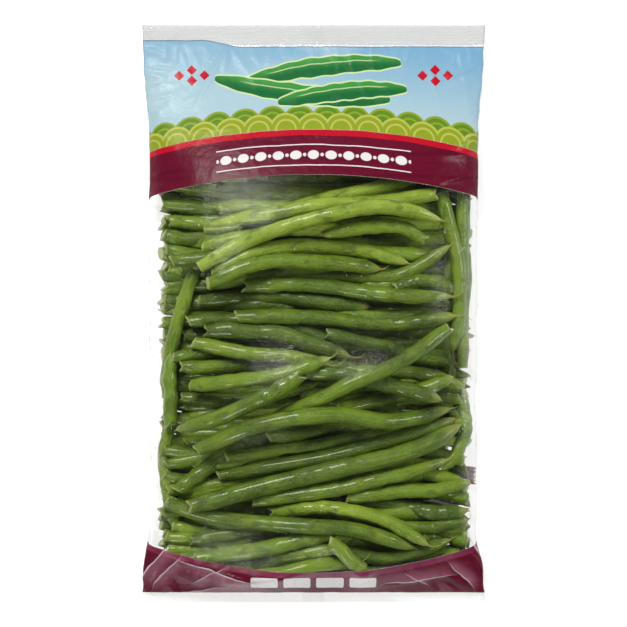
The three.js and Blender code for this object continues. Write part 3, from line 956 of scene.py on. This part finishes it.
# The print: a sky field with three pods over a scalloped edge and an arched band, and a plain band below.
# Beads, panels and vents are on both sides of the middle.
inks = {
    "skyHigh": colour(112, 160, 194),
    "skyLow": colour(160, 188, 202),
    "rule": colour(70, 84, 104),
    "podDark": colour(26, 98, 52),
    "podLight": colour(62, 140, 66),
    "podEdge": colour(192, 212, 158),
    "cloud": colour(204, 216, 220),
    "ruling": colour(150, 150, 156),
    "lime": colour(132, 150, 38),
    "leaf": colour(88, 128, 36),
    "pale": colour(172, 176, 84),
    "maroon": colour(96, 14, 40),
    "maroonDeep": colour(78, 8, 32),
    "mauve": colour(132, 50, 84),
    "foldLight": colour(182, 122, 148),
    "red": colour(178, 18, 38),
    "panel": colour(226, 224, 228),
    "film": colour(236, 240, 240),
    "weld": colour(202, 205, 208),
}
artwork = {
    "skyTop": 147.2,
    "bandTop": 101,
    "bandBottom": 76,
    "arch": 0.0014,
    "lowBandTop": -142,
    "lowBandRise": 0.0018,
    "pods": [(5, 132.5, 7, 88, 9.4, 3.5), (-6, 123.5, -7, 98, 9.8, -3), (16, 119.5, 6, 72, 8.8, 2.5)],
    "beads": [(67, 134), (60, 131), (74, 131), (67, 128)],
    "beadEdge": (3.1, 2.7),
    "peaPitch": 9.6,
    "peaReach": 53.2,
    "scallopPitch": 15.2,
    "scallopReach": 9.4,
    "scallopRing": 5.6,
    "scallopRows": [(True, 4.2, "leaf", "lime"), (False, 0.0, "lime", "pale")],
    "panels": [(27, -147.7), (9, -147.9)],
    "panelSize": (7.4, 2.9),
    "backBlock": (-58, -84, -94, -126),
    "vents": [(12, 118), (36, 118)],
    "clearFront": -108,
    "clearBack": -56,
    "clearTop": 58,
}


# How much of the light the film holds back where it is clear, hazy, creased, folded, steep, welded or lapped
filmLook = {
    "haze": 0.016,
    "clouds": 0.012,
    "scratches": 0.05,
    "creases": 0.06,
    "folds": 0.3,
    "steep": 0.2,
    "weldTop": 0.6,
    "weldLow": 0.14,
    "seam": 0.1,
}


# The print's colour, where it lies, how solid it is, and the folds of the low corners, with painted light
# and painted shade on either side of each fold and a white line along it, partly painted highlight
def filmPrint(f, place, across, along, flat, backSide, facet):
    wander = f.noise(place, 60, 2)
    u = across + (f.noise(place, 45, 2) - 0.5) * 1.2
    v = along + (wander - 0.5) * 1.2
    art = artwork
    front = 1 - backSide

    edge = v + u * u * art["arch"]
    topEdge = v - art["skyTop"] - u.step(-38, -62) * 3.4
    sky = topEdge.step(0.25, -0.25) * edge.step(art["bandTop"] - 0.2, art["bandTop"] + 0.2)
    band = edge.step(art["bandTop"] + 0.2, art["bandTop"] - 0.2) * edge.step(
        art["bandBottom"] - 0.2, art["bandBottom"] + 0.2)
    lowEdge = v - u * u * art["lowBandRise"] - art["lowBandTop"]
    lowBand = lowEdge.step(0.2, -0.2) * v.step(-153.9, -153.5)

    paint = f.mix((v + u * 0.12).step(108, 158), inks["skyLow"], inks["skyHigh"])
    cloud = f.noise(place, 24, 3, (1, 2.2, 1)).step(0.5, 0.75)
    paint = f.mix(cloud * 0.3, paint, inks["cloud"])
    paint = f.mix(topEdge.size().step(0.75, 0.45) * 0.6, paint, inks["rule"])
    low = edge - art["bandTop"]
    near = u.math("PINGPONG", art["scallopPitch"] / 2)
    reach = art["scallopReach"]
    for offset, rise, ink, rim in art["scallopRows"]:
        aside = art["scallopPitch"] / 2 - near if offset else near
        span = (aside * aside + (low - rise) ** 2).math("SQRT")
        shell = span.step(reach + 0.2, reach - 0.2).over(low.step(rise + 0.2, rise)) * front
        tint = f.mix(span.step(reach - 1.4, reach - 1.0), inks[ink], inks[rim])
        tint = f.mix((span - art["scallopRing"]).size().step(0.7, 0.4), tint, inks[rim])
        paint = f.mix(shell, paint, tint)
    for x, y, turn, length, width, bend in art["pods"]:
        c, s = math.cos(math.radians(turn)), math.sin(math.radians(turn))
        t = ((u - x) * (2 * c / length) + (v - y) * (2 * s / length)).over(-1.0).under(1.0)
        arc = 1 - t * t
        girth = (arc ** 0.42) * (width / 2) * (1 + (t * 11).math("SINE") ** 2 * 0.12)
        off = ((v - y) * c - (u - x) * s - arc * bend)
        gap = off.size() - girth + t.size().step(0.985, 1.0) * 2
        pod = f.mix((off * (2 / width)).step(-0.4, 0.9), inks["podDark"], inks["podLight"])
        paint = f.mix(gap.step(1.0, 0.7) * front, paint, inks["podEdge"])
        paint = f.mix(gap.step(0.15, -0.15) * front, paint, pod)
        glint = (off - girth * 0.35).size().step(0.45, 0.2) * t.size().step(0.75, 0.55)
        paint = f.mix(glint * front * 0.7, paint, inks["podEdge"])
    for x, y in art["beads"]:
        bead = ((u.size() - x).size() + (v - y).size()).step(*art["beadEdge"])
        paint = f.mix(bead * front, paint, inks["red"])
    grain = f.noise(place, 180, 2, (0.06, 1.6, 1)).step(0.5, 0.66)
    wine = f.mix(grain * 0.6, inks["maroon"], inks["maroonDeep"])
    wine = f.mix(edge.step(art["bandTop"] - 3.6, art["bandTop"] - 3.2) * band, wine, inks["red"])
    wine = f.mix(lowEdge.step(-3.4, -3.0) * lowBand * 0.8, wine, inks["mauve"])
    middle = edge - (art["bandTop"] + art["bandBottom"]) / 2 + 1.6
    stray = u.math("PINGPONG", art["peaPitch"] / 2)
    pea = (stray * stray * 0.6 + middle * middle).math("SQRT").step(2.6, 2.2)
    dot = ((art["peaPitch"] / 2 - stray) ** 2 + middle ** 2).math("SQRT").step(1.1, 0.8)
    rules = ((middle.size() - 5.6).size()).step(0.4, 0.2)
    motif = pea.over(dot).over(rules) * u.size().step(art["peaReach"] + 0.2, art["peaReach"])
    wine = f.mix(motif * front * band * 0.9, wine, inks["panel"])
    paint = f.mix(band.over(lowBand), paint, wine)
    panels = 0.0
    wide, tall = art["panelSize"]
    for x, y in art["panels"]:
        box = ((u.size() - x).size() - wide + 1).over(0) ** 2 + ((v - y).size() - tall + 1).over(0) ** 2
        panels = box.step(1.15, 0.85).over(panels)
    panels = panels * lowBand * front
    paint = f.mix(panels, paint, inks["panel"])

    left, blockTop, blockRule, blockEnd = art["backBlock"]
    strip = v.step(blockTop, blockTop - 0.4) * v.step(blockRule - 0.2, blockRule + 0.2)
    block = v.step(blockRule + 0.2, blockRule - 0.2) * v.step(blockEnd - 0.4, blockEnd)
    block = (block * across.step(80.2, 79.8)).over(strip) * across.step(left - 0.2, left + 0.2) * backSide
    ruled = (v.math("PINGPONG", 2.6) - 1.3).size().step(0.16, 0.1) * (across - 11).size().step(62, 61.6)
    sheet = f.mix(ruled, inks["panel"], inks["ruling"])
    paint = f.mix(block, paint, f.mix(strip, sheet, inks["mauve"]))

    printed = sky.over(band).over(lowBand).over(block)
    corner = along.step(-118, -142) * flat.size().step(44, 74)
    creased = litSide = darkSide = 0.0
    for x0, y0, x1, y1, height, _ in film["folds"]:
        dx, dy = x1 - x0, y1 - y0
        length = math.hypot(dx, dy)
        t = (flat - x0) * (dx / length**2) + (along - y0) * (dy / length**2)
        aside = (flat - x0) * (dy / length) - (along - y0) * (dx / length)
        aside = aside + (wander - 0.5) * 5
        line = (aside.size() - t * (1 - t) * 1.3).step(0.15, -0.2) * (height / 3)
        line = line * t.step(0.02, 0.3) * t.step(0.98, 0.7)
        within = t.step(0.0, 0.4) * t.step(1.0, 0.6)
        # Painted light on one side of each fold and painted shade on the other, fading away from the fold
        # line
        lit = aside.step(height * 4, 0) * aside.step(-0.1, 0.2) * within
        dark = aside.step(-height * 3, 0) * aside.step(0.1, -0.2) * within
        creased = line.over(creased)
        litSide = lit.over(litSide)
        darkSide = dark.over(darkSide)
    creased = creased * front
    # Painted shade on the folds' dark sides; painted light on their lit sides and on random facets of the
    # crumpled corners
    paint = f.mix(darkSide * lowBand * front * 0.6, paint, inks["maroonDeep"])
    paint = f.mix((litSide * 0.5).over(facet * corner * 0.2) * lowBand * front, paint, inks["foldLight"])
    # White along the fold lines: partly painted highlight on the fold ridges, partly the ink whitened in the
    # fold
    paint = f.mix(creased * printed * along.step(-100, -120) * 0.85, paint, inks["panel"])
    solid = sky * 0.985 + band * 0.975 + lowBand * 0.95 + block * 0.96
    return paint, printed, solid, creased


# The film's finish. Its middle is clear, so that part leaves out the print.
def filmFinish(name, hasPrint):
    f = Finish(name)
    across = f.attribute("filmAcross") * 1000
    along = f.attribute("filmAlong") * 1000
    backSide = f.attribute("filmBack")
    crease = f.attribute("filmCrease")
    flat = f.attribute("filmFlat") * 1000
    margin = f.attribute("filmEdge")
    place = f.wire("ShaderNodeCombineXYZ", 0, None, X=across * 0.001, Y=along * 0.001)
    crumple = f.noise(place, 120, 4, (1, 0.55, 1), 0.6)
    size, turn = film["facet"], film["facetSeed"]
    sway = (along * (1 / 6.3) + turn).math("SINE") * 2.2 + (along * (1 / 2.9)).math("SINE") * 1.3
    column = (flat + sway) * (1 / size) + along * (0.5 / size)
    row = (along + (flat * (1 / 5.1) + turn).math("SINE") * 1.9) * (1.1 / size)
    half = column.math("FRACT") + row.math("FRACT") - 1
    cell = f.wire(
        "ShaderNodeCombineXYZ", 0, None, X=column.math("FLOOR"), Y=row.math("FLOOR"), Z=half.math("SIGN"))
    facet = f.wire("ShaderNodeTexWhiteNoise", "Value", None, Vector=cell).step(0.45, 0.95)
    printed = solid = creased = weldTop = weldLow = welds = 0.0
    base = inks["film"]
    if hasPrint:
        paint, printed, solid, creased = filmPrint(f, place, across, along, flat, backSide, facet)
        weldTop = along.step(147.6, 148.4)
        weldLow = along.step(-153.2, -153.8)
        welds = weldTop.over(weldLow)
        base = f.mix(printed, f.mix(weldTop, inks["film"], inks["weld"]), paint)
    seam = across.size().step(6.2, 5.8) * backSide
    cloudy = f.noise(place, 38, 4, (1, 1, 1), 0.6).step(0.55, 0.8)
    lines = (f.noise(place, 95, 3, (1, 0.6, 1), 0.55) - 0.5).size().step(0.012, 0.0)
    grazing = f.wire("ShaderNodeLayerWeight", "Facing", None, Blend=0.3)
    steep = grazing.step(0.3, 1.0)
    look = filmLook
    haze = look["haze"] + cloudy * look["clouds"] + lines * cloudy * look["scratches"]
    haze = haze + crease.step(0.35, 1.6) * look["creases"] + creased * look["folds"] + steep * look["steep"]
    haze = haze + weldTop * look["weldTop"] + weldLow * look["weldLow"] + seam * look["seam"]
    # Random greyer patches and facets on the crumpled margins: painted shade of the crumple facets, over the
    # film's own haze there
    facetShade = crumple.step(0.5, 0.62) * 0.3 + facet * 0.5
    haze = haze + margin * (0.07 + facetShade * 0.16 + steep * (facetShade * 0.55 + 0.12))
    cover = haze.over(solid).under(1.0)
    for x, y in artwork["vents"] if hasPrint else ():
        hole = ((across.size() - x) ** 2 + (along - y) ** 2).math("SQRT").step(3.1, 2.9)
        cover = cover * (1 - hole * backSide)
    rough = 0.06 + f.noise(place, 90, 3) * 0.1 + printed * 0.16
    beads = f.noise(place, 700, 2, (1, 1, 1), 0.6) * (1 - printed)
    crinkle = f.noise(place, 300, 3, (1, 1, 1), 0.6) * 0.6 + f.noise(place, 80, 3) * 1.3 + beads * 0.9
    crinkle = crinkle + lines * (1 - printed) * 0.4 + crumple * margin * 2
    if hasPrint:
        crinkle = crinkle + (along * (2 * math.pi / 1.6)).math("SINE") * welds * 0.15
    bump = f.wire("ShaderNodeBump", 0, None, Strength=0.45, Distance=0.0007, Height=crinkle)
    shine = (1 - printed) * (1 - welds) * 0.92
    ink = f.wire("ShaderNodeBsdfPrincipled", 0, None, Base_Color=base, Metallic=shine, Roughness=rough,
                 Normal=bump, IOR=1.42, Specular_IOR_Level=0.17)
    clear = f.wire("ShaderNodeBsdfTransparent", 0)
    return f.finish(f.wire("ShaderNodeMixShader", 0, None, i0=cover, i1=clear, i2=ink))


skinMaterial = beanSkin()
fleshMaterial = beanFlesh()
for piece in [packed] + [beans for beans, nodes in front]:
    piece.data.materials.clear()
    piece.data.materials.append(skinMaterial)
    piece.data.materials.append(fleshMaterial)
filmPiece.data.materials.clear()
for finish in (filmFinish("printed_film", True), filmFinish("clear_film", False)):
    filmPiece.data.materials.append(finish)
faces = filmPiece.data.polygons
middles = np.empty((len(faces), 3))
facings = np.empty((len(faces), 3))
faces.foreach_get("center", middles.ravel())
faces.foreach_get("normal", facings.ravel())
lowest = np.where(facings[:, 2] > 0, artwork["clearFront"], artwork["clearBack"]) * mm
isClear = (middles[:, 1] > lowest) & (middles[:, 1] < artwork["clearTop"] * mm)
faces.foreach_set("material_index", isClear.astype(np.int32))
print("finishes made")

# What each piece stands for
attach(filmPiece, "root")
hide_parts("bag_film")
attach(packed, "root")
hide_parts("packed_beans")
for beans, nodes in front:
    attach(beans, "root")
    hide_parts(*nodes)


# The pale floor and the soft studio light
studio = {
    "floor": 3.0,
    "lights": [
        ("key", (-0.42, 0.9, 1.28), 0.55, 23.5, (1.0, 0.975, 0.91)),
        ("side", (1.2, 0.3, 0.85), 0.4, 8, (1.0, 0.98, 0.94)),
        ("front", (-0.5, -1.25, 0.95), 0.4, 8.5, (1.0, 0.98, 0.92)),
    ],
    "sky": 0.16,
    "glow": 0.8,
}


def makeStudio():
    bpy.ops.object.select_all(action="DESELECT")
    bpy.ops.mesh.primitive_plane_add(size=studio["floor"], location=(0, 0, -0.0004))
    floor = bpy.context.object
    floor.name = "floor"
    bpy.ops.object.transform_apply(location=True, rotation=False, scale=False)
    f = Finish("floor")
    place = f.wire("ShaderNodeTexCoord", "Object")
    tone = f.mix(f.noise(place, 3, 2), (0.36, 0.36, 0.36), (0.4, 0.4, 0.4))
    floor.data.materials.append(f.finish(f.wire(
        "ShaderNodeBsdfPrincipled", 0, None, Base_Color=tone, Roughness=0.9, Emission_Color=(1.0, 1.0, 1.0),
        Emission_Strength=studio["glow"])))
    for name, place, size, power, tint in studio["lights"]:
        lamp = bpy.data.lights.new(name, "AREA")
        lamp.color = tint
        lamp.size = size
        lamp.energy = power
        obj = bpy.data.objects.new(name, lamp)
        bpy.context.scene.collection.objects.link(obj)
        obj.location = place
        direction = -obj.location
        obj.rotation_euler = direction.to_track_quat("-Z", "Y").to_euler()
    world = bpy.data.worlds.new("studio")
    bpy.context.scene.world = world
    world.use_nodes = True
    background = world.node_tree.nodes["Background"]
    background.inputs["Color"].default_value = (1, 1, 1, 1)
    background.inputs["Strength"].default_value = studio["sky"]
    bpy.context.scene.view_settings.view_transform = "Standard"


makeStudio()
print("studio lit")
